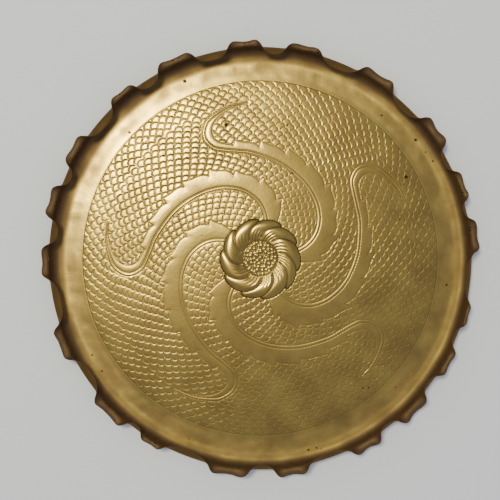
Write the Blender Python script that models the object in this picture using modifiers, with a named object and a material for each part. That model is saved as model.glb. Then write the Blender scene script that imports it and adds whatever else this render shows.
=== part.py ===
"""Round brass tray, raised from one sheet: a flat well, a repousse flower boss, and an upright
wall whose top strip is crimped alternately outward and inward like a pie crust.

Metres, +Z up. The origin is on the ground under the middle of the tray, and the tray rests on
the underside of its well. +X is the zero of every angle, which runs anticlockwise from above.
"""

import math

import bmesh
import bpy
from mathutils import Vector

# --- Driving dimensions ---------------------------------------------------------------------

SHEET_GAUGE = 0.0010        # thickness of the brass sheet

WELL_RADIUS = 0.2475        # where the flat well starts to turn up
WALL_BEND_RADIUS = 0.0102   # radius of the bend from the well into the wall, on the outside
WALL_LEAN = 0.0006          # how far the wall leans out between its bend and the crimp
CRIMP_START = 0.0150        # height of the underside of the crimped strip
CRIMP_STRIP = 0.0143        # width of the strip that is bent in and out
LOBE_TURN = math.radians(168)       # how far a lobe's strip curls outward and down
BEND_TURN = math.radians(82)        # how far the strip leans in between two lobes
BEND_TURN_SPREAD = math.radians(27)  # extra lean round TIGHT_SIDE, and less opposite it
TIGHT_SIDE = math.radians(140)      # side where the strip was bent in furthest
OPEN_BEND = math.radians(4)         # half width below which a bend leans in less
CURL_SPREAD = 0.7           # below 1, the strip is bent mostly near its root

# The lobes, spaced by eye when the rim was crimped. Each has the angle of its middle, its half
# width in degrees, and the height in millimetres of the strip that stands upright below its curl.
LOBES = [
    (math.radians(angle), math.radians(half_width), upright / 1000)
    for angle, half_width, upright in (
        (6.0, 4.7, 4.0), (19.8, 4.2, 7.0), (36.0, 5.0, 2.2), (56.8, 5.3, 3.0), (78.0, 4.7, 7.2),
        (94.2, 4.5, 6.0), (113.5, 5.2, 5.2), (130.2, 4.0, 7.4), (149.7, 4.6, 4.4),
        (164.7, 4.6, 3.8), (181.0, 4.6, 4.8), (203.5, 5.0, 3.0), (225.3, 5.6, 2.4),
        (239.3, 3.4, 8.2), (261.5, 5.6, 2.8), (278.6, 4.7, 2.8), (299.8, 4.6, 2.2),
        (315.4, 5.1, 1.4), (330.8, 4.2, 7.0), (344.6, 3.4, 10.0),
    )
]

BOSS_RADIUS = 0.0510        # petal tips
BOSS_NOTCH = 0.0035         # how far the outline steps in between two petals
BOSS_HEIGHT = 0.0049        # crest of the grooves between petals, under the sheet
SEED_RADIUS = 0.0214        # the seed head inside the petals
SEED_HEIGHT = 0.0034        # the seed head's edge, under the sheet
SEED_CROWN = 0.0008         # how far its middle stands above its edge
PETAL_CREST = 0.48          # where the petals are highest, from 0 at the seeds to 1 at the tips
PETAL_STEP = 0.0015         # how far a petal swells above the groove at its leading edge
PETAL_SWIRL = math.radians(-35)     # how far a petal's edges turn from the seeds to the tip

# Where the petals' leading edges leave the seed head.
PETAL_ANGLES = [math.radians(angle) for angle in (
    17.0, 55.0, 89.0, 123.0, 164.0, 200.0, 239.5, 277.5, 308.5, 347.5,
)]

# --- How finely the shapes are cut into facets ------------------------------------------------

RIM_STATIONS = 240          # steps round the tray
WALL_BEND_STEPS = 3
CRIMP_STEPS = 6
PETAL_STATIONS = 5          # steps across each petal
PETAL_RINGS = 6             # steps from the seeds to the tips
MERGE_DISTANCE = 0.00001

TURN = 2 * math.pi


def new_collection(name):
    collection = bpy.data.collections.new(name)
    bpy.context.scene.collection.children.link(collection)
    return collection


def metal(name, colour, roughness):
    """A Principled material for bare metal."""
    material = bpy.data.materials.new(name)
    material.use_nodes = True
    shader = material.node_tree.nodes["Principled BSDF"]
    shader.inputs["Base Color"].default_value = (*colour, 1.0)
    shader.inputs["Metallic"].default_value = 1.0
    shader.inputs["Roughness"].default_value = roughness
    return material


def turned_sheet(profile, stations, collection):
    """A profile of (radius, height) points, swept round Z by a Screw modifier, as a mesh."""
    mesh = bpy.data.meshes.new("profile")
    turned = bpy.data.objects.new("profile", mesh)
    collection.objects.link(turned)
    outline = bmesh.new()
    points = [outline.verts.new((radius, 0.0, height)) for radius, height in profile]
    for start, end in zip(points, points[1:]):
        outline.edges.new((start, end))
    outline.to_mesh(mesh)
    outline.free()

    screw = turned.modifiers.new("turn", "SCREW")
    screw.angle = TURN
    screw.steps = stations
    screw.render_steps = stations
    screw.use_merge_vertices = True
    screw.merge_threshold = MERGE_DISTANCE
    depsgraph = bpy.context.evaluated_depsgraph_get()
    result = bpy.data.meshes.new_from_object(turned.evaluated_get(depsgraph))
    bpy.data.objects.remove(turned)
    bpy.data.meshes.remove(mesh)
    return result


# --- The wall and its crimped strip -----------------------------------------------------------

def wall_profile():
    """Underside of the tray from the top of the rim down to the edge of the boss."""
    wall_radius = WELL_RADIUS + WALL_BEND_RADIUS + WALL_LEAN
    profile = [
        (wall_radius, CRIMP_START + CRIMP_STRIP * step / CRIMP_STEPS)
        for step in range(CRIMP_STEPS, -1, -1)
    ]
    for step in range(WALL_BEND_STEPS, -1, -1):
        turn = math.pi / 2 * step / WALL_BEND_STEPS
        profile.append((
            WELL_RADIUS + WALL_BEND_RADIUS * math.sin(turn),
            WALL_BEND_RADIUS * (1 - math.cos(turn)),
        ))
    profile.append((BOSS_RADIUS + BOSS_NOTCH, 0.0))
    return profile


def crimp(angle):
    """How far the strip's edge is turned out (or in, if negative), and what stays upright."""
    ahead = min(LOBES, key=lambda lobe: (lobe[0] - angle) % TURN)
    behind = min(LOBES, key=lambda lobe: (angle - lobe[0]) % TURN)
    before_next = (ahead[0] - angle) % TURN - ahead[1]
    past_last = (angle - behind[0]) % TURN - behind[1]
    if past_last < before_next:
        beyond, (_, half_width, upright) = past_last, behind
    else:
        beyond, (_, half_width, upright) = before_next, ahead
    if beyond < 0:
        return LOBE_TURN * (1 - (1 + beyond / half_width) ** 3.2), upright
    half_gap = (past_last + before_next) / 2
    tightness = BEND_TURN + BEND_TURN_SPREAD * math.cos(angle - TIGHT_SIDE)
    from_middle = 1 - min(1.0, beyond / half_gap)
    return -tightness * (1 - from_middle ** 2.6) * min(1.0, half_gap / OPEN_BEND), 0.0


def strip_walk(angle):
    """The strip's (outward, upward) offsets at this angle, one for each of its steps.

    The strip keeps its width while it is bent, so each step is the same length and only its
    lean changes.
    """
    full_turn, upright = crimp(angle)
    step_length = CRIMP_STRIP / CRIMP_STEPS
    outward = upward = 0.0
    offsets = [(outward, upward)]
    for step in range(CRIMP_STEPS):
        past_upright = max(0.0, step_length * (step + 0.5) - upright)
        lean = full_turn * (past_upright / (CRIMP_STRIP - upright)) ** CURL_SPREAD
        outward += step_length * math.sin(lean)
        upward += step_length * math.cos(lean)
        offsets.append((outward, upward))
    return offsets


def crimp_rim(sheet):
    """Bends the upright strip of the turned wall in and out."""
    wall_radius = WELL_RADIUS + WALL_BEND_RADIUS + WALL_LEAN
    walks = {}
    for vert in sheet.verts:
        if vert.co.z < CRIMP_START - MERGE_DISTANCE:
            continue
        angle = math.atan2(vert.co.y, vert.co.x)
        station = round(angle / TURN * RIM_STATIONS)
        if station not in walks:
            walks[station] = strip_walk(angle)
        step = round((vert.co.z - CRIMP_START) / CRIMP_STRIP * CRIMP_STEPS)
        outward, upward = walks[station][step]
        radius = wall_radius + outward
        vert.co = Vector((
            radius * math.cos(angle), radius * math.sin(angle), CRIMP_START + upward,
        ))


# --- The boss ----------------------------------------------------------------------------------

def boss_profile():
    """Underside of the boss from the petals' tips in to the middle, before they are shaped."""
    rings = [
        (BOSS_RADIUS + (SEED_RADIUS - BOSS_RADIUS) * step / PETAL_RINGS, 0.0)
        for step in range(PETAL_RINGS + 1)
    ]
    return rings + [(SEED_RADIUS / 2, 0.0), (0.0, 0.0)]


def petal_point(ring_radius, petal, across):
    """A point of a petal's underside: across runs from 0 at its leading edge to 1 at the next."""
    outness = (ring_radius - SEED_RADIUS) / (BOSS_RADIUS - SEED_RADIUS)
    outness = min(1.0, max(0.0, outness))
    start = PETAL_ANGLES[petal]
    width = (PETAL_ANGLES[(petal + 1) % len(PETAL_ANGLES)] - start) % TURN
    angle = start + width * across + PETAL_SWIRL * outness
    radius = ring_radius - BOSS_NOTCH * outness * (2 * across - 1) ** 4

    if outness < PETAL_CREST:
        rise = math.sin(math.pi / 2 * outness / PETAL_CREST)
        dome = SEED_HEIGHT + (BOSS_HEIGHT - SEED_HEIGHT) * rise
    else:
        dome = BOSS_HEIGHT * math.cos(math.pi / 2 * (outness - PETAL_CREST) / (1 - PETAL_CREST))
    lap = PETAL_STEP * math.sin(math.pi * outness) * math.sin(math.pi * (1 - across) ** 2)
    height = dome + lap
    if outness <= 0:
        height += SEED_CROWN * (1 - (ring_radius / SEED_RADIUS) ** 2)
    return Vector((radius * math.cos(angle), radius * math.sin(angle), max(0.0, height)))


def shape_boss(verts):
    """Turns the flat disc of the boss into lapped petals round a low seed head."""
    stations = PETAL_STATIONS * len(PETAL_ANGLES)
    for vert in verts:
        ring_radius = math.hypot(vert.co.x, vert.co.y)
        station = round(math.atan2(vert.co.y, vert.co.x) / TURN * stations) % stations
        petal, step = divmod(station, PETAL_STATIONS)
        if ring_radius > MERGE_DISTANCE:
            vert.co = petal_point(ring_radius, petal, step / PETAL_STATIONS)
        else:
            vert.co = Vector((0.0, 0.0, SEED_HEIGHT + SEED_CROWN))


# --- The tray ----------------------------------------------------------------------------------

def loop_at(sheet, radius_range):
    """Open edges whose both ends lie between two radii."""
    low, high = radius_range
    return [
        edge for edge in sheet.edges
        if edge.is_boundary and all(low < math.hypot(*v.co.xy) < high for v in edge.verts)
    ]


def build_tray(collection):
    sheet = bmesh.new()
    stations = PETAL_STATIONS * len(PETAL_ANGLES)
    boss_mesh = turned_sheet(boss_profile(), stations, collection)
    sheet.from_mesh(boss_mesh)
    shape_boss(sheet.verts)
    wall_mesh = turned_sheet(wall_profile(), RIM_STATIONS, collection)
    sheet.from_mesh(wall_mesh)
    crimp_rim(sheet)

    well_edge = (BOSS_RADIUS + WELL_RADIUS) / 2
    bmesh.ops.bridge_loops(sheet, edges=loop_at(sheet, (SEED_RADIUS, well_edge)))
    bmesh.ops.recalc_face_normals(sheet, faces=sheet.faces)
    lowest = min(sheet.faces, key=lambda face: face.calc_center_median().z)
    if lowest.normal.z > 0:
        bmesh.ops.reverse_faces(sheet, faces=sheet.faces)

    mesh = bpy.data.meshes.new("tray_sheet")
    sheet.to_mesh(mesh)
    sheet.free()
    for used in (boss_mesh, wall_mesh):
        bpy.data.meshes.remove(used)

    tray = bpy.data.objects.new("tray_sheet", mesh)
    collection.objects.link(tray)
    gauge = tray.modifiers.new("gauge", "SOLIDIFY")
    gauge.thickness = SHEET_GAUGE
    gauge.offset = -1.0
    gauge.use_even_offset = True
    mesh.materials.append(metal("aged_brass", (0.60, 0.45, 0.18), 0.38))
    mesh.shade_smooth()
    mesh.set_sharp_from_angle(angle=math.radians(40))


for stale in list(bpy.data.objects):
    bpy.data.objects.remove(stale)
build_tray(new_collection("brass_tray"))
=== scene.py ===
"""Round brass tray: one sheet of brass, raised, crimped, embossed and chased by hand."""

import math

import bmesh
import bpy
import numpy as np
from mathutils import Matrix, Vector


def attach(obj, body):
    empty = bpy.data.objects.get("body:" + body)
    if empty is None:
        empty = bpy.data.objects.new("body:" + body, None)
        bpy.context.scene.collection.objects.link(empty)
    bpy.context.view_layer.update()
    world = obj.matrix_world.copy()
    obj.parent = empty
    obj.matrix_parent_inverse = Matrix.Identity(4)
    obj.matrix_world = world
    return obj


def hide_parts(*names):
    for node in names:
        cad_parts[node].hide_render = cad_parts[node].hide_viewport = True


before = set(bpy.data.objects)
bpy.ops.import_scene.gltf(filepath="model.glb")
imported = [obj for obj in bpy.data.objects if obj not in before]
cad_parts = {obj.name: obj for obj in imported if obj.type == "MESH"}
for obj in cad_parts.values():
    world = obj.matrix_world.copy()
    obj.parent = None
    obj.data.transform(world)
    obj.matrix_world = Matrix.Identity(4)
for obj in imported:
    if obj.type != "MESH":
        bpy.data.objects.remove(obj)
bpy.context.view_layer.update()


# --- Crimped rim ------------------------------------------------------------------------------
# The edge of the brass disc, raised into a wall, and its top strip bent out into twenty lobes and
# in between them, with a mallet over a stake. It is one sheet with the chased field.
# The blank is drawn flat, in millimetres: its radius is the length along the metal.

MM = 0.001
TURN = 2 * math.pi
GAUGE = 1.0                    # thickness of the sheet
SECTORS = 5                    # the rim and the field are each made in five equal sectors
SECTOR_TURN = TURN / SECTORS
FINE_STEPS = 288
PROBE = 0.04                   # step between two points when a slope is taken
FIELD_EDGE = 222.0             # the field's pieces end here and the rim's begin
WELL_EDGE = 247.5              # the tight part of the bend into the wall starts here
EASE_LENGTH = 12.0             # the sheet starts to rise this far inside it
EASE_TURN = math.radians(5)    # how steep it has become at the tight part
BEND_LENGTH = 13.3             # metal in the tight part of the bend
WALL_LENGTH = 6.5              # metal in the wall above it
BEND_TURN = math.radians(75)   # how steep the wall is after the bend
STRIP_LENGTH = 13.6            # metal in the strip that is crimped
STRIP_START = WELL_EDGE + BEND_LENGTH + WALL_LENGTH
BLANK_RADIUS = STRIP_START + STRIP_LENGTH
STATION = 0.05                 # length of metal between two stations up the wall
LOBE_TURN = math.radians(168)  # how far a lobe is rolled over at its middle
LOBE_ROUNDING = 2.3            # a higher number gives a lobe a longer straight middle
GAP_ROUNDING = 2.6             # and the same for the bend between two lobes
LEAN_IN = math.radians(82)     # the bends between the lobes are closed less on one side
LEAN_SPREAD = math.radians(27)
TIGHT_SIDE = math.radians(140)
LIP_UNEVEN = 0.10              # how much the turned strip varies along a lobe
CURL_SPREAD = 0.7              # below 1, the strip is rolled more tightly at its foot
CURL_STEPS = 16
SWELL = 0.20                   # slow waves left in the sheet by the hammering of the well
SWELL_SIZE = 85
RIPPLE = 0.09                  # and shorter ones
RIPPLE_SIZE = 31
WELL_RISE = 0.75               # the middle of the well stands this much over its edge
DENT = 0.16                    # hammer marks in the plain border and up the wall
DENT_SIZE = 21
PLANISH = 0.07                 # and the small flats of the finishing hammer
PLANISH_SIZE = 9
BROWN_FROM = 244.5             # the sheet is brown from about here up the wall
# Each lobe's place and half width in degrees, and how much of the strip it turns out.
LOBES = np.array([
    (6.0, 4.7, 9.6), (19.8, 4.2, 6.6), (36.0, 5.0, 11.4), (56.8, 5.3, 10.6), (78.0, 4.7, 6.4),
    (94.2, 4.5, 7.6), (113.5, 5.2, 8.4), (130.2, 4.0, 6.2), (149.7, 4.6, 9.2), (164.7, 4.6, 9.8),
    (181.0, 4.6, 8.8), (203.5, 5.0, 10.6), (225.3, 5.6, 11.2), (239.3, 3.4, 5.4),
    (261.5, 5.6, 10.8), (278.6, 4.7, 10.8), (299.8, 4.6, 11.4), (315.4, 5.1, 12.2),
    (330.8, 4.2, 6.6), (344.6, 3.4, 3.6),
])
LOBE_RING = np.concatenate((LOBES - (360, 0, 0), LOBES, LOBES + (360, 0, 0)))
# Corroded pits in the plain border and the field, as x, y and radius.
PITS = (
    (-93.5, 218.8, 3.0), (-161.7, 155.6, 2.1), (48.6, 187.6, 2.2), (33.5, 163.7, 1.9),
    (150.5, 176.3, 2.3), (192.3, 146.3, 2.3), (180.9, 100.7, 3.4), (172.5, 48.2, 2.0),
    (231.0, -33.3, 2.0), (127.6, -160.9, 2.0), (134.2, -160.0, 1.6), (-42.0, 165.0, 4.0),
    (40.0, 105.0, 2.0), (75.7, 107.5, 1.6), (-33.5, 100.5, 1.4), (-72.0, 27.8, 1.3),
    (101.7, 19.0, 1.3), (48.8, -28.4, 1.2), (-119.6, 126.5, 2.0), (-146.0, 146.7, 1.3),
    (-139.6, 148.2, 1.5), (-141.0, 144.0, 1.2), (214.0, 120.0, 1.3), (203.0, 101.0, 1.0),
    (-196.0, -140.0, 1.5), (-88.0, -224.0, 1.3), (60.0, -237.0, 1.7), (70.0, -235.0, 1.4),
    (75.0, -236.0, 1.0), (205.0, 131.0, 1.2), (-208.0, -120.0, 1.6), (168.0, -160.0, 1.2),
)
# Round stains, as x, y, radius and strength.
STAINS = (
    (-82.0, 85.0, 13.0, 0.48), (-124.0, 150.0, 7.0, 0.40), (-118.0, 129.0, 5.0, 0.45),
    (-112.0, 140.0, 10.0, 0.16), (86.7, 170.7, 6.0, 0.45), (237.0, -73.0, 9.0, 0.30),
    (-204.0, 108.0, 12.0, 0.30), (-168.0, 180.0, 10.0, 0.24), (120.0, 206.0, 16.0, 0.22),
    (50.0, 223.0, 14.0, 0.28), (-228.0, 20.0, 12.0, 0.24), (0.0, -226.0, 12.0, 0.20),
    (150.0, -180.0, 14.0, 0.18), (-150.0, -180.0, 14.0, 0.20), (-100.0, 212.0, 9.0, 0.24),
)


def fade(value, low, high):
    """0 below low, 1 above high, and a smooth slope between."""
    part = np.clip((value - low) / (high - low), 0, 1)
    return part * part * (3 - 2 * part)


def groove(distance, width):
    """1 in the middle of a chased line of this width, falling to 0 beside it."""
    return np.exp(-((2 * distance / width) ** 2))


def wave(x, y, size, seed):
    """Smooth random height from -1 to 1, with features about `size` across."""
    x = x / size
    y = y / size
    column = np.floor(x)
    row = np.floor(y)
    across = x - column
    along = y - row
    across = across * across * across * (across * (across * 6 - 15) + 10)
    along = along * along * along * (along * (along * 6 - 15) + 10)

    def corner(i, j):
        mixed = np.sin((column + i) * 12.9898 + (row + j) * 78.233 + seed * 37.719) * 43758.5453
        return (mixed - np.floor(mixed)) * 2 - 1

    near = corner(0, 0) * (1 - across) + corner(1, 0) * across
    far = corner(0, 1) * (1 - across) + corner(1, 1) * across
    return near * (1 - along) + far * along


steps_up = np.arange(0.0, STRIP_START + STATION, STATION)
slopes = np.interp(
    steps_up, (WELL_EDGE - EASE_LENGTH, WELL_EDGE, WELL_EDGE + BEND_LENGTH, STRIP_START),
    (0.0, EASE_TURN, BEND_TURN, math.pi / 2),
)
middle_slopes = (slopes[1:] + slopes[:-1]) / 2
wall_radii = np.concatenate(([0.0], np.cumsum(np.cos(middle_slopes) * STATION)))
wall_heights = np.concatenate(([0.0], np.cumsum(np.sin(middle_slopes) * STATION)))


def crimp(angle):
    """How far the strip's edge is turned out (or in, if negative), and how much of it turns."""
    degrees = np.degrees(angle) % 360
    ahead = np.searchsorted(LOBE_RING[:, 0], degrees, side="right")
    last, following = LOBE_RING[ahead - 1], LOBE_RING[ahead]
    past_last = (degrees - last[:, 0]) - last[:, 1]
    to_following = (following[:, 0] - degrees) - following[:, 1]
    nearest = np.where((past_last < to_following)[:, None], last, following)
    beyond = np.minimum(past_last, to_following)
    half_gap = (past_last + to_following) / 2
    from_middle = np.clip(1 + beyond / nearest[:, 1], 0, 1)
    out = LOBE_TURN * (1 - from_middle ** LOBE_ROUNDING)
    tight = LEAN_IN + LEAN_SPREAD * np.cos(angle - TIGHT_SIDE)
    part = 1 - np.clip(beyond / half_gap, 0, 1)
    # A gap narrower than 8 degrees is too short to be bent in all the way.
    inward = -tight * (1 - part ** GAP_ROUNDING) * np.minimum(1, half_gap / 4.0)
    on_lobe = beyond < 0
    uneven = 1 + LIP_UNEVEN * wave(degrees, np.zeros(degrees.shape), 2.4, 41)
    return (np.where(on_lobe, out, inward),
            np.where(on_lobe, nearest[:, 2] * uneven, STRIP_LENGTH))


def underside(length, angle):
    """Points of the bare tray's underside, before any embossing, as an array of x, y, z."""
    on_wall = np.minimum(length, STRIP_START)
    radius = np.interp(on_wall, steps_up, wall_radii)
    height = np.interp(on_wall, steps_up, wall_heights)
    strip = length - STRIP_START
    bent = strip > 0
    if bent.any():
        turn, turned = crimp(angle[bent])
        upright = STRIP_LENGTH - turned
        for step in range(CURL_STEPS):
            walked = strip[bent] * (step + 0.5) / CURL_STEPS
            lean = turn * (np.maximum(walked - upright, 0) / turned) ** CURL_SPREAD
            radius[bent] += np.sin(lean) * strip[bent] / CURL_STEPS
            height[bent] += np.cos(lean) * strip[bent] / CURL_STEPS
    return np.stack((radius * np.cos(angle), radius * np.sin(angle), height), axis=-1)


def border_relief(length, angle):
    """Unevenness of the bare sheet, and how dark its chased lines are: it has none."""
    x = length * np.cos(angle)
    y = length * np.sin(angle)
    in_well = 1 - fade(length, WELL_EDGE - 40, WELL_EDGE - 6)
    swell = SWELL * wave(x, y, SWELL_SIZE, 1)
    height = in_well * (WELL_RISE + swell + RIPPLE * wave(x, y, RIPPLE_SIZE, 2))
    hammered = fade(length, FIELD_EDGE - 5, FIELD_EDGE + 8) * (1 - fade(length, 258, 266))
    dents = DENT * wave(x, y, DENT_SIZE, 3) + PLANISH * wave(x, y, PLANISH_SIZE, 7)
    height = height + hammered * (dents + 0.2)
    return height, np.zeros(length.shape)


def tarnish(length, angle):
    """How brown, how deeply pitted and how dull the sheet is with age, from 0 upwards."""
    x = length * np.cos(angle)
    y = length * np.sin(angle)
    # The wall is brown from its foot up, and a little further in on the upper left side.
    start = BROWN_FROM + 4.5 * np.cos(angle - math.radians(315)) + 3.5 * wave(x, y, 22, 21)
    brown = fade(length, start - 7, start + 13)
    clouds = 0.45 + 0.6 * wave(x, y, 30, 11) + 0.35 * wave(x, y, 12, 12)
    border = fade(length, 219, 232)
    brown = np.maximum(brown, border * (0.42 * np.clip(clouds, 0, 1.2)))
    right_side = fade(x, 120, 235) * fade(length, 195, 240)
    brown = np.maximum(brown, 0.34 * right_side * np.clip(0.6 + 0.5 * wave(x, y, 30, 14), 0, 1))
    for stain_x, stain_y, size, strength in STAINS:
        ragged = 1 + 0.35 * wave(x, y, 7, 17)
        away = np.hypot(x - stain_x, y - stain_y) * ragged
        brown = np.maximum(brown, strength * (1 - fade(away, 0.35 * size, 1.25 * size)))
    pitted = np.zeros(length.shape)
    for pit_x, pit_y, size in PITS:
        away = np.hypot(x - pit_x, y - pit_y) * (1 + 0.3 * wave(x, y, 1.7, 19))
        pitted = np.maximum(pitted, 1 - fade(away, 0.35 * size, 1.0 * size))
    dull = np.maximum(border * np.clip(clouds, 0.2, 1), 1.5 * fade(length, 236, 246))
    return brown, pitted, dull


def slope_and_normal(surface, length, angle):
    """Unit tangent outwards along the metal, and unit normal of the upper face."""
    here = surface(length, angle)
    out = surface(length + PROBE, angle) - here
    turned = surface(length, angle + PROBE / np.maximum(length, 1.0)) - here
    normal = np.cross(out, turned)
    out /= np.linalg.norm(out, axis=-1, keepdims=True)
    normal /= np.linalg.norm(normal, axis=-1, keepdims=True)
    return out, normal


def press(blank, name, relief):
    """Presses a flat blank, 1 thick, into the tray's shape with this relief, as a piece."""
    mesh = bpy.data.meshes.new(name)
    blank.to_mesh(mesh)
    blank.free()
    flat = np.empty(len(mesh.vertices) * 3)
    mesh.vertices.foreach_get("co", flat)
    flat = flat.reshape(-1, 3)
    length = np.hypot(flat[:, 0], flat[:, 1])
    angle = np.arctan2(flat[:, 1], flat[:, 0])
    depth = -flat[:, 2]

    def upper_face(length, angle):
        bare = underside(length, angle)
        _, normal = slope_and_normal(underside, length, angle)
        height, _ = relief(length, angle)
        return bare + normal * (GAUGE + height)[..., None]

    # The two faces lie over each other, so each point of the blank is worked out once.
    places, which = np.unique(np.round(np.stack((flat[:, 0], flat[:, 1])), 4), axis=1,
                              return_inverse=True)
    which = which.reshape(-1)
    first = np.zeros(places.shape[1], int)
    first[which] = np.arange(len(which))
    spot_length = length[first]
    spot_angle = angle[first]
    _, bare_normal = slope_and_normal(underside, spot_length, spot_angle)
    height, line = relief(spot_length, spot_angle)
    top = underside(spot_length, spot_angle) + bare_normal * (GAUGE + height)[:, None]
    out, normal = slope_and_normal(upper_face, spot_length, spot_angle)

    round_edge = np.sin(np.pi * np.clip(depth, 0, 1)) * (length > BLANK_RADIUS - 0.01)
    points = top[which] - bare_normal[which] * (GAUGE * depth)[:, None]
    points += out[which] * (0.5 * GAUGE * round_edge)[:, None]
    mesh.vertices.foreach_set("co", (points * MM).ravel())
    normals = normal[which] * np.cos(np.pi * depth)[:, None] + out[which] * round_edge[:, None]
    normals /= np.linalg.norm(normals, axis=-1, keepdims=True)
    mesh.update()

    # The cuts between two pieces stay flat, and everything else is shaded smooth across them.
    corners = np.empty(len(mesh.loops), int)
    mesh.loops.foreach_get("vertex_index", corners)
    starts = np.empty(len(mesh.polygons), int)
    mesh.polygons.foreach_get("loop_start", starts)
    face_normals = np.empty(len(mesh.polygons) * 3)
    mesh.polygons.foreach_get("normal", face_normals)
    deepest = np.maximum.reduceat(depth[corners], starts)
    shallowest = np.minimum.reduceat(depth[corners], starts)
    inmost = np.minimum.reduceat(length[corners], starts)
    cut = (deepest - shallowest > 0.01) & (inmost < BLANK_RADIUS - 0.01)
    sides = np.diff(np.append(starts, len(corners)))
    corner_normals = np.where(np.repeat(cut, sides)[:, None],
                              np.repeat(face_normals.reshape(-1, 3), sides, axis=0),
                              normals[corners])
    mesh.shade_smooth()
    mesh.normals_split_custom_set(corner_normals)

    brown, pitted, dull = tarnish(spot_length, spot_angle)
    on_top = depth < 0.5
    # The chased attribute holds the lines' dark patina together with painted shade.
    for label, values in (("chased", line[which] * on_top), ("brown", brown[which]),
                          ("pitted", pitted[which] * on_top), ("dull", dull[which]),
                          ("back", depth)):
        stored = mesh.attributes.new(label, "FLOAT", "POINT")
        stored.data.foreach_set("value", values.astype(np.float32))
    piece = bpy.data.objects.new(name, mesh)
    bpy.context.scene.collection.objects.link(piece)
    return piece


def thicken(blank):
    """Gives a flat blank, whose faces look up, a thickness of 1 downwards."""
    bmesh.ops.recalc_face_normals(blank, faces=blank.faces)
    if blank.faces[:][0].normal.z < 0:
        bmesh.ops.reverse_faces(blank, faces=blank.faces)
    grown = bmesh.ops.extrude_face_region(blank, geom=blank.faces[:], use_keep_orig=True)
    lower = [item for item in grown["geom"] if isinstance(item, bmesh.types.BMVert)]
    bmesh.ops.translate(blank, verts=lower, vec=(0, 0, -1))
    bmesh.ops.recalc_face_normals(blank, faces=blank.faces)


def add_ring_band(blank, inner, outer, rings, steps):
    """Adds one sector of a band of the disc, from +X round, by spinning a row of edges."""
    row = [blank.verts.new((radius, 0, 0)) for radius in np.linspace(inner, outer, rings + 1)]
    edges = [blank.edges.new(pair) for pair in zip(row, row[1:])]
    bmesh.ops.spin(blank, geom=row + edges, cent=(0, 0, 0), axis=(0, 0, 1), angle=SECTOR_TURN,
                   steps=steps, use_merge=False)


def turn_blank(blank, sector):
    """Turns a blank drawn from +X round to its own sector."""
    bmesh.ops.rotate(blank, verts=blank.verts, cent=(0, 0, 0),
                     matrix=Matrix.Rotation(sector * SECTOR_TURN, 3, "Z"))


def shade(hex_colour):
    """An sRGB hex colour as linear red, green, blue and alpha."""
    parts = [int(hex_colour[i:i + 2], 16) / 255 for i in (1, 3, 5)]
    return [c / 12.92 if c <= 0.04045 else ((c + 0.055) / 1.055) ** 2.4 for c in parts] + [1.0]


def add_node(tree, kind, settings=None, values=None, links=None):
    """Adds a node with its settings, its fixed input values and its input links."""
    node = tree.nodes.new(kind)
    for name, value in (settings or {}).items():
        setattr(node, name, value)
    for socket, value in (values or {}).items():
        node.inputs[socket].default_value = value
    for socket, source in (links or {}).items():
        tree.links.new(source, node.inputs[socket])
    return node


def make_brass():
    """Old brass: rubbed golden where it is handled, brown up the wall, and dark in chased lines:
    patina in the hollows, with painted shade on top.
    """
    brass = bpy.data.materials.new("aged_chased_brass")
    brass.use_nodes = True
    tree = brass.node_tree
    shader = tree.nodes["Principled BSDF"]
    shader.inputs["Metallic"].default_value = 1.0
    place = add_node(tree, "ShaderNodeTexCoord").outputs["Object"]
    in_mm = add_node(tree, "ShaderNodeVectorMath", {"operation": "SCALE"}, {"Scale": 1000.0},
                     {0: place}).outputs[0]

    def noise(size, detail, roughness=0.55):
        return add_node(tree, "ShaderNodeTexNoise", None,
                        {"Scale": 1 / size, "Detail": detail, "Roughness": roughness},
                        {"Vector": in_mm}).outputs["Fac"]

    def ramp(source, low, high, to_low, to_high):
        return add_node(tree, "ShaderNodeMapRange", None, {
            "From Min": low, "From Max": high, "To Min": to_low, "To Max": to_high,
        }, {"Value": source}).outputs["Result"]

    def blend(amount, under, over):
        values = {}
        links = {0: amount}
        for socket, colour in ((6, under), (7, over)):
            (values if isinstance(colour, list) else links)[socket] = colour
        return add_node(tree, "ShaderNodeMix", {"data_type": "RGBA"}, values, links).outputs[2]

    def times(one, other):
        values = {} if not isinstance(other, float) else {1: other}
        links = {0: one} if isinstance(other, float) else {0: one, 1: other}
        return add_node(tree, "ShaderNodeMath", {"operation": "MULTIPLY"}, values, links).outputs[0]

    def attribute(name):
        return add_node(tree, "ShaderNodeAttribute", {"attribute_name": name}).outputs["Fac"]

    clouds = noise(42, 5.0, 0.6)
    speckle = noise(3.2, 3.0)
    chased = attribute("chased")
    brown = attribute("brown")
    colour = blend(ramp(clouds, 0.36, 0.64, 0.0, 1.0), shade("#877142"), shade("#A48C4E"))
    colour = blend(ramp(speckle, 0.55, 0.75, 0.0, 0.35), colour, shade("#8F7132"))
    colour = blend(times(brown, ramp(noise(9, 4.0), 0.2, 0.8, 0.72, 1.0)), colour,
                   shade("#665040"))
    # Dark of the chased lines: patina in the hollows, with painted shade laid on most strongly
    # round the window's highlight and along the petals' vein grooves.
    colour = blend(times(chased, 0.8), colour, shade("#4C3C20"))
    colour = blend(attribute("pitted"), colour, shade("#2A1D14"))
    colour = blend(times(attribute("back"), 0.75), colour, shade("#6E5632"))
    tree.links.new(colour, shader.inputs["Base Color"])

    rough = ramp(clouds, 0.3, 0.7, 0.25, 0.20)
    for amount, strength in ((brown, 0.18), (attribute("dull"), 0.20), (chased, 0.16),
                             (attribute("pitted"), 0.3),
                             (attribute("back"), 0.12)):
        rough = add_node(tree, "ShaderNodeMath", {"operation": "MULTIPLY_ADD"}, {1: strength},
                         {0: amount, 2: rough}).outputs[0]
    tree.links.new(rough, shader.inputs["Roughness"])
    grain = add_node(tree, "ShaderNodeBump", None, {"Strength": 0.25, "Distance": 0.0002},
                     {"Height": speckle}).outputs["Normal"]
    tree.links.new(grain, shader.inputs["Normal"])
    return brass


BRASS = make_brass()


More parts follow.
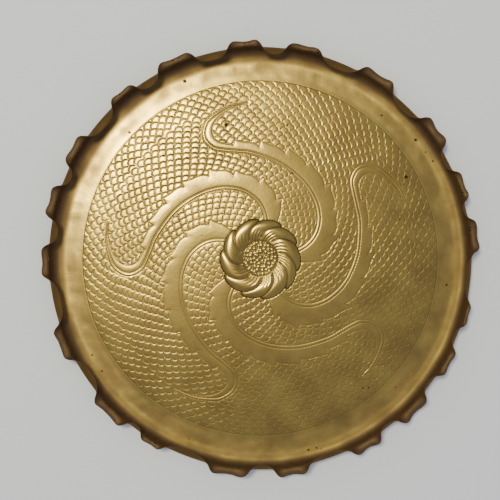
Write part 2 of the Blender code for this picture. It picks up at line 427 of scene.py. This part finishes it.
def finish(piece):
    """Gives a finished piece of the tray its brass and its place in the frame."""
    piece.data.materials.append(BRASS)
    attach(piece, "root")
    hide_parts("tray_sheet")


for sector in range(SECTORS):
    blank = bmesh.new()
    add_ring_band(blank, FIELD_EDGE, BLANK_RADIUS, FINE_STEPS * 50 // 288, FINE_STEPS)
    turn_blank(blank, sector)
    thicken(blank)
    raw_edge = [edge for edge in blank.edges
                if abs(edge.verts[0].co.z - edge.verts[1].co.z) > 0.5
                and edge.verts[0].co.xy.length > BLANK_RADIUS - 0.01]
    bmesh.ops.subdivide_edges(blank, edges=raw_edge, cuts=3, use_grid_fill=True)
    finish(press(blank, f"crimped_rim_{sector + 1}", border_relief))


# --- Chased field -----------------------------------------------------------------------------
# The flat of the same brass sheet, worked from the front with blunt punches. Five S-shaped
# fronds, each with a double spine, a barbed edge and a hooked tip, sweep out over a ground of
# overlapping scales.

BOSS_EDGE = 54.0               # the boss's piece ends here and the field's begin
FINER_FROM = 106.0             # the blank has twice as many steps round outside this
BORDER_LINE = 219.5
LINE_WIDTH = 1.35
BORDER_WIDTH = 0.9
BORDER_DEPTH = 0.14
FROND_DOME = 0.32              # how far a frond swells over its edge
DOME_REACH = 3.5               # and how far inside the edge most of that is reached
RIDGE = 0.26                   # height of the rib between the two lines of the spine
RIDGE_WIDTH = 2.4
SIDE_OFFSET = 2.0              # each of the two lines stands this far from the spine
SIDE_DEPTH = 0.32
EDGE_DEPTH = 0.25
SCALE_HEIGHT = 0.24
SCALE_DEPTH = 0.21             # depth of the arc round a scale
HIGHLIGHT_SPOT = (-150, 150)       # where the window's highlight falls: lines deep and painted darkest round it, faint far from it
# Where each frond's foot, waist, shoulder and tip stand, in degrees, at these radii.
FROND_RADII = (50, 110, 150, 193)
FRONDS = (
    (11.0, 11.0, 11.0, 11.0), (80.8, 85.3, 83.5, 83.3), (153.5, 159.0, 156.0, 153.2),
    (227.5, 227.7, 226.1, 227.0), (300.9, 293.7, 298.3, 299.1),
)
# A frond's spine, from under the boss to the hook's tip, as degrees and radius.
SPINE = [
    (-1.6, 44), (0.7, 50), (4.3, 60), (9.2, 70), (15.8, 80), (24.4, 90), (36, 100), (50.5, 110),
    (66.7, 120), (82.7, 130), (91, 135), (96.8, 140), (100.6, 145), (102.4, 150), (103.8, 160),
    (103.2, 170), (100.6, 180), (97.6, 185), (92.4, 190), (88, 192.4), (83.7, 193.4),
]
# The barbs on its outer edge: crest and notch, each as degrees and radius.
BARBS = [
    (-13.2, 78.2, -8.4, 75.2), (3.0, 99.5, 6.4, 95.0), (20.0, 112.2, 22.2, 108.3),
    (35.2, 127.0, 37.2, 120.0), (51.3, 135.0, 52.6, 129.2), (64.2, 141.2, 65.6, 134.2),
    (78.0, 145.2, 79.2, 138.2), (90.6, 149.6, 92.2, 143.8),
]
HOOK_INSIDE = [
    (92.2, 143.8), (95.6, 147.6), (98.2, 151.6), (99.6, 157), (100.0, 163), (99.5, 169),
    (98.2, 175), (96, 180.5), (92.4, 186), (88, 190.2), (83.7, 193.0),
]


def to_flat(polar):
    """Points given in degrees and radius, as x and y."""
    turns = np.radians(polar[:, 0])
    return np.stack((polar[:, 1] * np.cos(turns), polar[:, 1] * np.sin(turns)), axis=-1)


def smooth_path(points, pieces):
    """A smooth curve through points given in degrees and radius."""
    flat = to_flat(np.array(points, float))
    padded = np.concatenate(([2 * flat[0] - flat[1]], flat, [2 * flat[-1] - flat[-2]]))
    curve = []
    for before, start, end, after in zip(padded, padded[1:], padded[2:], padded[3:]):
        for t in np.arange(pieces) / pieces:
            curve.append(0.5 * (2 * start + (end - before) * t
                                + (2 * before - 5 * start + 4 * end - after) * t ** 2
                                + (3 * start - before - 3 * end + after) * t ** 3))
    return np.array(curve + [flat[-1]])


def barbed_edge():
    """The frond's outer edge from the boss, over its barbs, and along the inside of the hook."""
    polar = [(-17.0, 44), (-16.8, 52), (-16.3, 60), (-14.8, 68), (-13.9, 73)]
    notch_angle, notch_radius = -13.9, 73.0
    for crest_angle, crest_radius, next_angle, next_radius in BARBS:
        if next_radius > 76:
            for part, rise in ((0.10, 0.20), (0.28, 0.40), (0.50, 0.53), (0.70, 0.64),
                               (0.86, 0.80)):
                polar.append((notch_angle + part * (crest_angle - notch_angle),
                              notch_radius + rise * (crest_radius - notch_radius)))
        polar += [(crest_angle - 0.5 * 60 / crest_radius, crest_radius - 0.5),
                  (crest_angle + 0.5 * 60 / crest_radius, crest_radius),
                  (crest_angle + 1.3 * 60 / crest_radius, crest_radius - 1.4),
                  (next_angle, next_radius)]
        notch_angle, notch_radius = next_angle, next_radius
    return np.concatenate((to_flat(np.array(polar, float)), smooth_path(HOOK_INSIDE, 5)[1:]))


SPINE_PATH = smooth_path(SPINE, 4)
EDGE_PATH = barbed_edge()
FROND_OUTLINE = np.concatenate((SPINE_PATH, EDGE_PATH[::-1]))
NOTCHES = to_flat(np.array(BARBS)[:, 2:])
SPINE_RADII = np.hypot(SPINE_PATH[:, 0], SPINE_PATH[:, 1])
SPINE_TURNS = np.unwrap(np.arctan2(SPINE_PATH[:, 1], SPINE_PATH[:, 0]))


def frond_start(frond, radius):
    """Where a frond stands at this radius, in radians."""
    return np.radians(np.interp(radius, FROND_RADII, FRONDS[frond]))


def distance_to(path, x, y):
    """Distance from each point to a path."""
    best = np.full(x.shape, 1e9)
    for (x0, y0), (x1, y1) in zip(path, path[1:]):
        run_x = x1 - x0
        run_y = y1 - y0
        part = ((x - x0) * run_x + (y - y0) * run_y) / (run_x * run_x + run_y * run_y)
        part = np.clip(part, 0, 1)
        best = np.minimum(best, (x - x0 - part * run_x) ** 2 + (y - y0 - part * run_y) ** 2)
    return np.sqrt(best)


def inside_outline(outline, x, y):
    """Whether each point lies inside a closed outline."""
    inside = np.zeros(x.shape, bool)
    for (x0, y0), (x1, y1) in zip(outline, np.roll(outline, -1, axis=0)):
        if y0 != y1:
            crosses = (y0 > y) != (y1 > y)
            inside ^= crosses & (x < (x1 - x0) * (y - y0) / (y1 - y0) + x0)
    return inside


def fronds(radius, angle):
    """Height of the fronds, how dark their lines are, and how much they cover the ground."""
    height = np.zeros(radius.shape)
    line = np.zeros(radius.shape)
    cover = np.zeros(radius.shape)
    for frond in range(len(FRONDS)):
        turned = (angle - frond_start(frond, radius) + math.pi / 2) % TURN - math.pi / 2
        near = (turned > math.radians(-35)) & (turned < math.radians(112))
        near &= (radius > 43) & (radius < 200)
        if not near.any():
            continue
        x = radius[near] * np.cos(turned[near])
        y = radius[near] * np.sin(turned[near])
        to_spine = distance_to(SPINE_PATH, x, y)
        to_edge = distance_to(EDGE_PATH, x, y)
        blade = inside_outline(FROND_OUTLINE, x, y)
        narrow = 1 - 0.45 * fade(radius[near] + np.degrees(turned[near]) * -0.25, 160, 171)
        side_lines = groove(to_spine - SIDE_OFFSET * narrow, LINE_WIDTH)
        edge_line = groove(to_edge, LINE_WIDTH)
        for notch_x, notch_y in NOTCHES:
            punched = np.hypot(x - notch_x, y - notch_y)
            edge_line = np.maximum(edge_line, 1 - fade(punched, 0.5, 1.4))
        inwards = np.minimum(to_edge, np.maximum(to_spine - SIDE_OFFSET, 0))
        dome = FROND_DOME * (1 - np.exp(-inwards / DOME_REACH))
        ridge = RIDGE * groove(to_spine, RIDGE_WIDTH)
        lines = SIDE_DEPTH * side_lines + EDGE_DEPTH * edge_line
        height[near] += np.where(blade, dome, 0) + ridge - lines
        line[near] = np.maximum(line[near], np.maximum(side_lines, edge_line))
        covered = np.maximum(fade(3.6 - to_spine, 0, 0.8), fade(1.3 - to_edge, 0, 0.8))
        cover[near] = np.maximum(cover[near], np.maximum(covered, blade))
    return height, line, cover


SCALE_WIDTH = 12.5             # from one scale to the next along a row
EVEN_FROM = 186.0              # rows beyond this run evenly round the whole tray
EVEN_COUNT = 98
rows = [45.5]
while rows[-1] < BORDER_LINE + 8:
    rows.append(rows[-1] + np.interp(rows[-1], (50, 100, 150), (4.5, 5.0, 5.35)))
ROWS = np.array(rows)


def gap_middle(gap, radius):
    """The angle midway between the spines of two neighbouring fronds at this radius."""
    first = frond_start(gap, radius)
    following = frond_start((gap + 1) % len(FRONDS), radius)
    return first + np.interp(radius, SPINE_RADII, SPINE_TURNS) + (following - first) % TURN / 2


def row_starts(gap):
    """Where each row is laid from: each scale stands over the joint of two in the row before."""
    laid = [gap_middle(gap, ROWS[0])]
    for before, radius in zip(ROWS, ROWS[1:]):
        step = SCALE_WIDTH / before
        whole = round((gap_middle(gap, radius) - laid[-1]) / step - 0.5)
        laid.append(laid[-1] + (whole + 0.5) * step)
    return laid


ROW_STARTS = np.array([row_starts(gap) for gap in range(len(FRONDS))])


def chance(*keys):
    """A repeatable random number from 0 to 1 for each set of whole-number keys."""
    mixed = np.zeros_like(keys[0], dtype=float)
    for key, weight in zip(keys, (12.9898, 78.233, 37.719)):
        mixed = mixed + key * weight
    mixed = np.sin(mixed) * 43758.5453
    return mixed - np.floor(mixed)


def scales(radius, angle):
    """Height of the scales and how dark the arc punched round each scale's tip is."""
    spine_turn = np.interp(radius, SPINE_RADII, SPINE_TURNS)
    past = [(angle - frond_start(frond, radius) - spine_turn) % TURN
            for frond in range(len(FRONDS))]
    gap = np.argmin(past, axis=0)
    x = radius * np.cos(angle)
    y = radius * np.sin(angle)
    shifted = radius + 0.7 * wave(x, y, 55, 5)
    row = np.searchsorted(ROWS, shifted, side="right") - 1
    row = np.clip(row, 1, len(ROWS) - 3)

    height = np.zeros(radius.shape)
    line = np.zeros(radius.shape)
    to_rim = np.full(radius.shape, 9.0)
    open_ground = np.ones(radius.shape, bool)
    for step in (-1, 0, 1, 2):
        here = row + step
        centre = ROWS[here]
        even = centre > EVEN_FROM
        spacing = np.where(even, TURN / EVEN_COUNT, SCALE_WIDTH / centre)
        off = (angle - ROW_STARTS[gap, here] + math.pi) % TURN - math.pi
        place = np.where(even, angle / spacing - 0.5 * (here % 2), off / spacing)
        number = np.round(place)
        label = np.where(even, number % EVEN_COUNT, number + 30 * gap)
        sway = 0.10 * (chance(label, here) - 0.5)
        reach = np.interp(centre, (50, 110, 215), (5.3, 5.75, 5.95))
        reach = reach * (1 + 0.08 * (chance(here, label) - 0.5))
        across = (place - number + sway) * spacing * radius
        lift = shifted - centre + 0.7 * (chance(label + 5, here) - 0.5)
        distance = np.hypot(across, lift)
        depth = 0.75 + 0.5 * chance(label, here + 9)
        arc = groove(distance - reach, LINE_WIDTH) * fade(lift / (distance + 0.1), 0.12, 0.42)
        to_next = (0.5 - np.abs(place - number)) * spacing * radius
        arc = depth * arc * (1 - np.exp(-((to_rim / 0.7) ** 2))) * fade(to_next, 0, 0.8)
        line = np.where(open_ground, np.maximum(line, arc), line)
        covers = open_ground & (distance < reach)
        nearest = np.where(covers, np.minimum(to_next, reach - distance), np.abs(distance - reach))
        to_rim = np.where(open_ground, np.minimum(to_rim, nearest), to_rim)
        off_middle = np.hypot(across, lift + 0.08 * reach) / reach
        dome = np.clip(1.15 - off_middle ** 2, 0, 1)
        height = np.where(covers, dome, height)
        open_ground = open_ground & ~covers
    return height * (1 - np.exp(-((to_rim / 0.8) ** 2))), np.clip(line, 0, 1.2)


def field_relief(length, angle):
    """Height worked into the flat of the tray, and how dark its lines are."""
    height, line = border_relief(length, angle)
    inner = length < BORDER_LINE + 4
    if inner.any():
        radius = length[inner]
        turn = angle[inner]
        x = radius * np.cos(turn)
        y = radius * np.sin(turn)
        frond_height, frond_line, cover = fronds(radius, turn)
        scale_height, scale_line = scales(radius, turn)
        # The lines are deep round the window's highlight on the upper left and shallow far from it;
        # their dark colour is painted shade over the patina of the hollows, strongest round the
        # highlight.
        away_from_highlight = fade(np.hypot(x - HIGHLIGHT_SPOT[0], y - HIGHLIGHT_SPOT[1]), 60, 215)
        strength = 1.22 + 0.18 * wave(x, y, 70, 4) - 0.86 * away_from_highlight
        plump = 0.55 + 0.45 * (1 - fade(radius, 120, 200))
        ground = (1 - cover) * fade(BORDER_LINE - radius, 0.2, 1.4)
        scale_line = scale_line * ground
        height[inner] += frond_height * (1.1 - 0.72 * away_from_highlight)
        raised = SCALE_HEIGHT * plump * ground * scale_height
        height[inner] += strength * (raised - SCALE_DEPTH * scale_line)
        # Painted shade: the lines are painted at full darkness round the highlight and at half
        # strength far from it.
        line[inner] = np.maximum(frond_line, scale_line) * (1 - 0.5 * away_from_highlight)
    border = groove(length - BORDER_LINE, BORDER_WIDTH)
    return height - BORDER_DEPTH * border, np.maximum(line, 0.5 * border)


for sector in range(SECTORS):
    blank = bmesh.new()
    add_ring_band(blank, BOSS_EDGE, FINER_FROM, FINE_STEPS * 56 // 288, FINE_STEPS // 2)
    join = [edge for edge in blank.edges
            if all(abs(v.co.xy.length - FINER_FROM) < 0.01 for v in edge.verts)]
    bmesh.ops.subdivide_edges(blank, edges=join, cuts=1, use_single_edge=True)
    for vert in blank.verts:
        if vert.co.xy.length > FINER_FROM - 0.1:
            vert.co.xy = vert.co.xy.normalized() * FINER_FROM
    add_ring_band(blank, FINER_FROM, FIELD_EDGE, FINE_STEPS * 124 // 288, FINE_STEPS)
    bmesh.ops.remove_doubles(blank, verts=blank.verts, dist=0.01)
    turn_blank(blank, sector)
    thicken(blank)
    finish(press(blank, f"chased_field_{sector + 1}", field_relief))


# --- Flower boss ------------------------------------------------------------------------------
# The middle of the same sheet, raised from behind into ten lapped petals round a seed head, then
# chased from the front with veins and outlines, a ring, and punched seeds within the ring.

SEED_RADIUS = 21.4
SEED_HEIGHT = 2.6
PETAL_CREST = 4.4              # height of a petal's highest part over the tray
CREST_AT = 0.55                # and how far out along it that is
END_SHARE = 0.45               # the outer end stands at this share of it
PETAL_STEP = 0.9               # a petal's edges lie this much under its back
VEINS = 4.5                    # chased veins to a petal
VEIN_HEIGHT = 0.15
OUTLINE_WIDTH = 1.9
OUTLINE_DEPTH = 0.38
PETAL_RADIUS = 50.0
PETAL_SWIRL = math.radians(-35)
PETAL_ANGLES = np.radians([17.0, 55.0, 89.0, 123.0, 164.0, 200.0, 239.5, 277.5, 308.5, 347.5])
SEED_SIZE = 4.5                # from one seed to the next
SEED_BUMP = 0.85
RING_WIDTH = 1.5
RING_DEPTH = 0.5


def petals(radius, angle):
    """Height of the petals, how dark their lines are, with painted shade along the vein grooves,
    and the radius each one ends at.
    """
    out_part = np.clip((radius - SEED_RADIUS) / 26.0, 0, 1.3)
    unwound = (angle - PETAL_SWIRL * out_part ** 1.6) % TURN
    edges = np.concatenate(([PETAL_ANGLES[-1] - TURN], PETAL_ANGLES, [PETAL_ANGLES[0] + TURN]))
    ahead = np.searchsorted(edges, unwound, side="right")
    width = edges[ahead] - edges[ahead - 1]
    across = (edges[ahead] - unwound) / width      # 0 at the edge that laps, 1 at the lapped one
    shoulder = np.clip(1 - across / 0.55, 0, 1)
    tail = np.clip((across - 0.55) / 0.45, 0, 1)
    outline = PETAL_RADIUS + 1.3 * np.cos(angle - math.radians(285))
    outline = outline - 3.6 * shoulder ** 2.2 - 3.2 * tail ** 2
    out = np.clip((radius - SEED_RADIUS) / (outline - SEED_RADIUS), 0, 1)

    rise = np.sin(np.pi / 2 * np.clip(out / CREST_AT, 0, 1))
    fall = np.clip((out - CREST_AT) / (1 - CREST_AT), 0, 1)
    body = np.where(out < CREST_AT, SEED_HEIGHT + (PETAL_CREST - SEED_HEIGHT) * rise,
                    PETAL_CREST * (1 - (1 - END_SHARE) * fall ** 2.2))
    own_edge = across * width * radius
    next_edge = (1 - across) * width * radius
    deep = fade(out, 0, 0.25) * (1 - 0.6 * fall ** 2)
    under = np.maximum(np.exp(-own_edge / 1.7), np.exp(-next_edge / 3.6))
    body = body - PETAL_STEP * deep * under
    vein = np.cos(TURN * VEINS * across)
    veins = vein * (1 - fade(out, 0.30, 0.58)) * VEIN_HEIGHT
    body = body + veins * fade(own_edge, 0.5, 2.0) * fade(next_edge, 0.5, 2.0)
    line = np.maximum(groove(own_edge, OUTLINE_WIDTH), groove(next_edge, OUTLINE_WIDTH))
    line = line * fade(1 - out, 0, 0.06)
    line = line * (0.45 + 0.55 * fade(out, 0, 0.2))
    shadow = 0.75 * (1 - fade(out, 0.1, 0.5)) * (0.5 - 0.5 * vein)
    return body - OUTLINE_DEPTH * line, np.maximum(line, shadow), outline


def seed_head(radius, angle):
    """Height of the punched seeds, and how dark the gaps between them are."""
    x = radius * np.cos(angle)
    y = radius * np.sin(angle)
    nearest = np.full(radius.shape, 9.0)
    column = np.floor(x / SEED_SIZE)
    row = np.floor(y / SEED_SIZE)
    for i in (-1, 0, 1):
        for j in (-1, 0, 1):
            seed_x = (column + i + 0.14 + 0.72 * chance(column + i, row + j)) * SEED_SIZE
            seed_y = (row + j + 0.14 + 0.72 * chance(row + j, column + i)) * SEED_SIZE
            nearest = np.minimum(nearest, np.hypot(x - seed_x, y - seed_y))
    bump = np.clip(1 - (nearest / (0.68 * SEED_SIZE)) ** 2, 0, 1)
    crown = 0.8 * (1 - (radius / SEED_RADIUS) ** 2)
    return SEED_HEIGHT + crown - 0.6 + SEED_BUMP * bump, 1 - bump


def boss_relief(length, angle):
    """Height of the middle of the tray over the underside's level, and its dark lines."""
    height, line = field_relief(length, angle)
    level, _ = border_relief(length, angle)
    petal_height, petal_line, outline = petals(length, angle)
    seeds, gaps = seed_head(length, angle)
    inside = 1 - fade(length, SEED_RADIUS - 0.9, SEED_RADIUS + 0.4)
    raised = petal_height * (1 - inside) + seeds * inside
    raised_line = np.maximum(0.7 * petal_line * (1 - inside), 0.4 * gaps * inside)
    ring = groove(length - SEED_RADIUS, RING_WIDTH)
    raised = raised - RING_DEPTH * ring
    raised_line = np.maximum(raised_line, 0.6 * ring)
    beyond = fade(length - outline, -0.3, 0.9)
    outer_line = groove(length - outline, OUTLINE_WIDTH)
    height = height * beyond + (level + np.maximum(raised, 0)) * (1 - beyond) - 0.3 * outer_line
    return height, np.maximum(line * beyond + raised_line * (1 - beyond), 0.6 * outer_line)


BOSS_CELLS = FINE_STEPS * SECTORS // 8
blank = bmesh.new()
bmesh.ops.create_grid(blank, x_segments=BOSS_CELLS, y_segments=BOSS_CELLS, size=1)
for vert in blank.verts:
    a, b = vert.co.x, vert.co.y
    if abs(a) < 1e-7 and abs(b) < 1e-7:
        radius, turn = 0.0, 0.0
    elif abs(a) > abs(b):
        radius, turn = a, math.pi / 4 * b / a
    else:
        radius, turn = b, math.pi / 2 - math.pi / 4 * a / b
    vert.co.x = BOSS_EDGE * radius * math.cos(turn)
    vert.co.y = BOSS_EDGE * radius * math.sin(turn)
thicken(blank)
finish(press(blank, "flower_boss", boss_relief))


# --- Floor, light and camera ------------------------------------------------------------------
# A plain pale floor of matt cloth, one soft window light high up on the upper left side, and an
# even pale room all round.

FLOOR_HALF = 3.0
blank = bmesh.new()
bmesh.ops.create_grid(blank, x_segments=1, y_segments=1, size=FLOOR_HALF)
floor_mesh = bpy.data.meshes.new("floor")
blank.to_mesh(floor_mesh)
blank.free()
floor = bpy.data.objects.new("floor", floor_mesh)
bpy.context.scene.collection.objects.link(floor)
# Plain woven cloth: it scatters the light evenly and shows no reflection.
cloth = bpy.data.materials.new("pale_cloth")
cloth.use_nodes = True
cloth.node_tree.nodes["Principled BSDF"].inputs["Base Color"].default_value = shade("#E0E2F0")
cloth.node_tree.nodes["Principled BSDF"].inputs["Roughness"].default_value = 0.9
floor_mesh.materials.append(cloth)

CAMERA_HEIGHT = 1.05
SENSOR = 36
FRAME_WIDTH = 0.6195           # width of floor that the picture spans
camera_data = bpy.data.cameras.new("camera")
camera_data.sensor_width = SENSOR
camera_data.lens = SENSOR * CAMERA_HEIGHT / FRAME_WIDTH
camera = bpy.data.objects.new("camera", camera_data)
camera.location = (-0.0124, 0.0099, CAMERA_HEIGHT)
bpy.context.scene.collection.objects.link(camera)
bpy.context.scene.camera = camera


def softbox(name, place, aim, size, power, colour):
    """A square area light, in metres and watts, that looks at a point."""
    lamp = bpy.data.lights.new(name, "AREA")
    lamp.size = size
    lamp.energy = power
    lamp.color = colour
    stand = bpy.data.objects.new(name, lamp)
    stand.location = place
    direction = Vector(aim) - Vector(place)
    stand.rotation_euler = direction.to_track_quat("-Z", "Y").to_euler()
    bpy.context.scene.collection.objects.link(stand)


WINDOW_SIZE = 0.48
WINDOW_POWER = 47
softbox("window", (-0.50, 0.54, 2.4), (-0.1, 0.1, 0), WINDOW_SIZE, WINDOW_POWER, (1.0, 0.95, 0.58))
world = bpy.data.worlds.new("room")
world.use_nodes = True
world.node_tree.nodes["Background"].inputs["Color"].default_value = shade("#C4C7D0")
world.node_tree.nodes["Background"].inputs["Strength"].default_value = 1.02
bpy.context.scene.world = world
